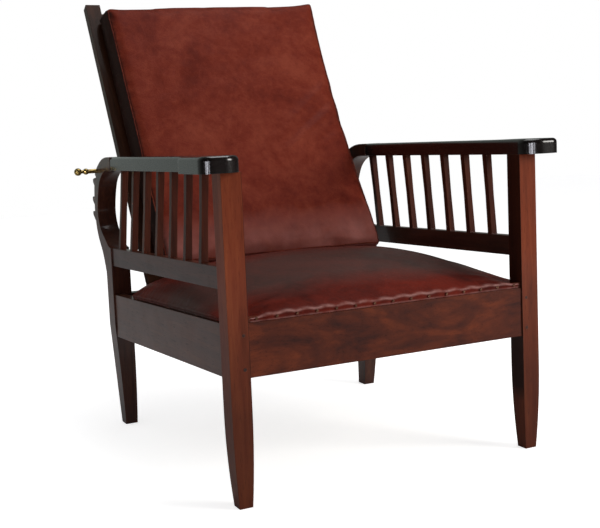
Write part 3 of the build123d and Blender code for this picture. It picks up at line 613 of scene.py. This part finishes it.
# Back cushion. A loose boxed cushion of the same leather over hair and felt, with a closed seam all
# round its face. It stands on the seat, leans on the slats, and has slumped a little to the right.
hinge = Vector(frame["joints"][0]["pos_m"])
cushion_low, cushion_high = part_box("back_cushion")
up_back = Vector((0, math.sin(lean), math.cos(lean)))
off_back = Vector((0, -math.cos(lean), math.sin(lean)))
cushion_middle = (cushion_low.x + cushion_high.x) / 2
cushion_half = (cushion_high.x - cushion_low.x) / 2
cushion_foot = 29.0 * mm
cushion_head = 707.8 * mm
cushion_depth = 66.0 * mm
frame_face = 22.4 * mm

# the wrinkles on the right: the height of each, its slope, the place across where it has that height,
# its width, ridge and hollow, and how far the hollow lies from the ridge
wrinkles = ((0.60, 0.33, 0.75, 0.026, 1.5, 1.1, 2.1),
            (0.50, 0.26, 0.75, 0.030, 1.9, 1.3, 2.0),
            (0.40, 0.10, 0.60, 0.034, 1.1, 0.9, 2.0))
wrinkle_depth = 2.2


def laid_out(point):
    """Place of a point on the back: across, along it from the hinge, and off its rear face."""
    step = point - hinge
    return Vector((step.x - cushion_middle, step.dot(up_back), step.dot(off_back)))


def set_up(flat):
    """The way back from a place on the back to the chair."""
    return hinge + Vector((flat.x + cushion_middle, 0, 0)) + up_back * flat.y + off_back * flat.z


def slumped(flat):
    """How the cushion has settled: a belly low down, folds on the right, and loose top corners."""
    across = flat.x / cushion_half
    rise = (flat.y - cushion_foot) / (cushion_head - cushion_foot)
    out = min(1.0, max(0.0, (flat.z - frame_face) / cushion_depth))
    belly = math.exp(-((rise - 0.13) / 0.12) ** 2) * (1 - 0.5 * across * across)
    right_part = math.exp(-((across - 0.72) / 0.33) ** 2)
    folds = 0.0
    for height, slope, where, width, ridge, hollow, apart in wrinkles:
        off_ridge = (rise - height - slope * (across - where)) / width
        folds += ridge * math.exp(-off_ridge ** 2)
        folds -= hollow * math.exp(-(off_ridge + apart) ** 2)
    folds *= wrinkle_depth * right_part
    easy = 2.0 * noise.noise(Vector((flat.x / (120 * mm), flat.y / (90 * mm), 0.7)))
    finer = 0.7 * noise.noise(Vector((flat.x / (38 * mm), flat.y / (30 * mm), 5.2)))
    moved = flat.copy()
    moved.z += out * (5.0 * belly + folds + easy + finer) * mm
    rightwards = max(0.0, across)
    leftwards = max(0.0, -across)
    at_top = max(0.0, (rise - 0.75) / 0.25) ** 1.5
    at_foot = math.exp(-(rise / 0.07) ** 2)
    at_right = 2.5 + 17.5 * max(0.0, (rise - 0.475) / 0.475) ** 1.5 + 3.5 * at_foot
    moved.x += (at_right * rightwards ** 2 + (2.0 - 13.0 * (1 - out)) * leftwards ** 2) * mm
    moved.y += (6.6 + 7.5 * across + 0.8 * across * across + 6.0 * rightwards ** 3) * at_top * mm
    moved.z += 8.0 * rightwards ** 2 * at_top * out * mm
    moved.z = max(moved.z, frame_face)
    return moved


cushion = bpy.data.objects.new("back_cushion_cover", nodes["back_cushion"].data.copy())
bpy.context.scene.collection.objects.link(cushion)
chosen(cushion)
bpy.ops.object.mode_set(mode="EDIT")
bpy.ops.mesh.select_all(action="SELECT")
bpy.ops.mesh.remove_doubles(threshold=weld)
bpy.ops.object.mode_set(mode="OBJECT")
cushion.data.materials.clear()
# drawn in a little first, for the swelling to come
cushion_side_in = 2.5 * mm
cushion_end_in = 2.0 * mm
cushion_flattened = 0.95
cushion_waist = (cushion_foot + cushion_head) / 2
for vertex in cushion.data.vertices:
    flat = laid_out(vertex.co)
    flat.x *= 1 - cushion_side_in / cushion_half
    flat.y = cushion_waist + (flat.y - cushion_waist) * (1 - cushion_end_in / (cushion_head - cushion_waist))
    flat.z = frame_face + (flat.z - frame_face) * cushion_flattened
    vertex.co = set_up(flat)
remesh = cushion.modifiers.new("even", "REMESH")
remesh.mode = "VOXEL"
remesh.voxel_size = 6.0 * mm
bpy.ops.object.modifier_apply(modifier="even")
swollen(cushion, 4.0, 7.0 * mm)
subdivided(cushion)
for vertex in cushion.data.vertices:
    vertex.co = set_up(slumped(laid_out(vertex.co)))
bpy.ops.object.shade_smooth()
back_leather = oxblood("back_leather_finish", (0.100, 0.011, 0.005), (0.150, 0.020, 0.009),
                       (0.205, 0.037, 0.018), 0.42, 0.06, 0.13, 0.12)


def painted_foot_sheen(start, place, x, y, z):
    """Painted sheen: the foot of the cushion, where it meets the seat, is laid pale."""
    streaky = start.node("TexNoise", sockets={"Vector": place, "Scale": 22.0, "Detail": 5.0})
    return (z + streaky * 0.05).spread(0.50, 0.44, 0.0, 0.5) * streaky.spread(0.30, 0.65, 0.45, 1.0)


def painted_side_shade(start, place, x, y, z):
    """Painted shade: the border strips at the sides are laid darker than the face."""
    return start.node("Attribute", {"attribute_name": "border"}, out="Fac")


# painted sheen along the foot of the back cushion
overlaid(back_leather, (0.38, 0.15, 0.13), painted_foot_sheen)
# painted shade on the side walls of the back cushion
overlaid(back_leather, (0.012, 0.010, 0.008), painted_side_shade)
# how much painted shade each point of the side walls takes, from how far it faces sideways
border = cushion.data.attributes.new("border", "FLOAT", "POINT")
for vertex in cushion.data.vertices:
    sideways = (abs(vertex.normal.x) - 0.45) / 0.35
    border.data[vertex.index].value = 0.9 * min(1.0, max(0.0, sideways))
cushion.data.materials.append(back_leather)
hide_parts("back_cushion")
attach(cushion, "back")

# Seam of the back cushion. The face and the border are sewn together and turned, which leaves a thin
# raised edge all round the face.
seam_radius = 1.3 * mm
cushion_tree = BVHTree.FromObject(cushion, bpy.context.evaluated_depsgraph_get())
seam_half = cushion_half - 2.0 * mm
seam_low = cushion_foot + 3.0 * mm
seam_high = cushion_head - 1.0 * mm
seam_off = 80.0 * mm
seam_corner = 16.0 * mm
seam_step = 7.0 * mm
corner_steps = 6
seam_path = []
for to_side, to_end, turn in ((1, 1, 0), (-1, 1, 90), (-1, -1, 180), (1, -1, 270)):
    centre = Vector((to_side * (seam_half - seam_corner),
                     seam_high - seam_corner if to_end > 0 else seam_low + seam_corner, seam_off))
    for step in range(corner_steps + 1):
        angle = math.radians(turn + 90 / corner_steps * step)
        seam_path.append(centre + seam_corner * Vector((math.cos(angle), math.sin(angle), 0)))
even_path = []
for first, second in zip(seam_path, seam_path[1:] + seam_path[:1]):
    steps_here = max(1, round((second - first).length / seam_step))
    for number in range(steps_here):
        even_path.append(first.lerp(second, number / steps_here))
seam_curve = bpy.data.curves.new("cushion_seam", "CURVE")
seam_curve.dimensions = "3D"
line = seam_curve.splines.new("POLY")
line.points.add(len(even_path) - 1)
for point, flat in zip(line.points, even_path):
    touching = cushion_tree.find_nearest(set_up(slumped(flat)))[0]
    point.co = (*touching, 1)
line.use_cyclic_u = True
seam_curve.bevel_depth = seam_radius
seam_curve.bevel_resolution = 2
seam = bpy.data.objects.new("cushion_seam", seam_curve)
bpy.context.scene.collection.objects.link(seam)
chosen(seam)
bpy.ops.object.convert(target="MESH")
bpy.ops.object.shade_smooth()
seam.data.materials.append(oxblood("seam_leather_finish", (0.070, 0.010, 0.006), (0.135, 0.022, 0.011),
                                   (0.220, 0.048, 0.024), 0.42, 0.06, 0.05, 0.4))
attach(seam, "back")

# Rod. A plain brass rod across the back of the bows, with a turned finial screwed on each end. It rests
# in one of the notches, and the back leans on it.
finished(old_brass("rod_brass", (0.50, 0.36, 0.12), (0.15, 0.085, 0.03), 0.8),
         "rod", "rod_finial_left", "rod_finial_right")

# Photographer's floor: one wide pale sheet under the chair. It glows a little, to the camera alone, so
# that it runs into the white behind.
bpy.ops.object.select_all(action="DESELECT")
bpy.ops.mesh.primitive_plane_add(size=14, location=(0, 0, 0))
floor = bpy.context.object
floor.name = "studio_floor"
floor_finish, shader, start = new_finish("floor_paper")
paper = start.node("TexNoise", sockets={"Vector": start.node("TexCoord", out="Object"), "Scale": 60.0,
                                        "Detail": 4.0})
paper.blended((0.80, 0.80, 0.795), (0.84, 0.84, 0.835)).into(shader, "Base Color")
shader.inputs["Roughness"].default_value = 0.9
shader.inputs["Emission Color"].default_value = (1, 1, 1, 1)
(start.node("LightPath", out="Is Camera Ray") * 0.72).into(shader, "Emission Strength")
floor.data.materials.append(floor_finish)

# Light: a soft box in front on the right and another overhead, in an even room. The polish alone mirrors
# the room as dark and brighter behind, and the camera sees it white.
bpy.context.scene.view_settings.view_transform = "Standard"


def soft_box(name, place, target, width, height, power, tint):
    """A rectangular light at a place, turned to a target."""
    lamp = bpy.data.lights.new(name, "AREA")
    lamp.shape = "RECTANGLE"
    lamp.size = width
    lamp.size_y = height
    lamp.energy = power
    lamp.color = tint
    holder = bpy.data.objects.new(name, lamp)
    bpy.context.scene.collection.objects.link(holder)
    holder.location = place
    holder.rotation_mode = "QUATERNION"
    holder.rotation_quaternion = (Vector(target) - Vector(place)).to_track_quat("-Z", "Y")


soft_box("key_light", (2.3, -2.5, 1.5), (0, 0, 0.5), 1.3, 1.3, 72, (1, 0.97, 0.93))
soft_box("top_light", (0.5, 0.1, 3.0), (0, 0, 0.4), 1.6, 1.6, 30, (1, 1, 1))
room = bpy.data.worlds.new("pale_room")
bpy.context.scene.world = room
room.use_nodes = True
sky = Flow(room.node_tree)
aim = sky.node("TexCoord", out="Generated")
behind = sky.node("VectorMath", {"operation": "DOT_PRODUCT"}, {0: aim, 1: (-0.25, 0.96, 0.1)}, out="Value")
window = behind.spread(0.3, 0.95)
mirrored = window.blended((0.020, 0.020, 0.021), (0.34, 0.38, 0.355))
# three bright panes in front on the left, for the highlights on the arms: their direction and brightness
for turn, brightness in ((214, 14.0), (227, 24.0), (241, 10.0)):
    angle = math.radians(turn)
    pane = sky.node("VectorMath", {"operation": "DOT_PRODUCT"},
                    {0: aim, 1: (math.cos(angle), math.sin(angle), 0.04)}, out="Value")
    mirrored = pane.spread(0.9955, 0.9980).blended(mirrored, (brightness, brightness, 1.1 * brightness))
shading = sky.node("LightPath", out="Is Glossy Ray").blended((0.34, 0.34, 0.35), mirrored)
background = room.node_tree.nodes["Background"]
sky.node("LightPath", out="Is Camera Ray").blended(shading, (1.0, 1.0, 1.0)).into(background, "Color")

# Camera: low and to the left of the chair, as the photograph was taken, and shifted a little to frame
# the chair as it does.
camera = bpy.data.objects.new("camera", bpy.data.cameras.new("camera"))
bpy.context.scene.collection.objects.link(camera)
camera.data.lens = 63.04
camera.data.shift_x = 0.01378
camera.data.shift_y = -0.04228
camera.matrix_world = (Matrix.Translation((-0.9873, -2.0683, 0.6491))
                       @ Matrix.Rotation(math.radians(-25.89), 4, "Z")
                       @ Matrix.Rotation(math.radians(90 - 5.97), 4, "X")
                       @ Matrix.Rotation(math.radians(-2.50), 4, "Z"))
bpy.context.scene.camera = camera
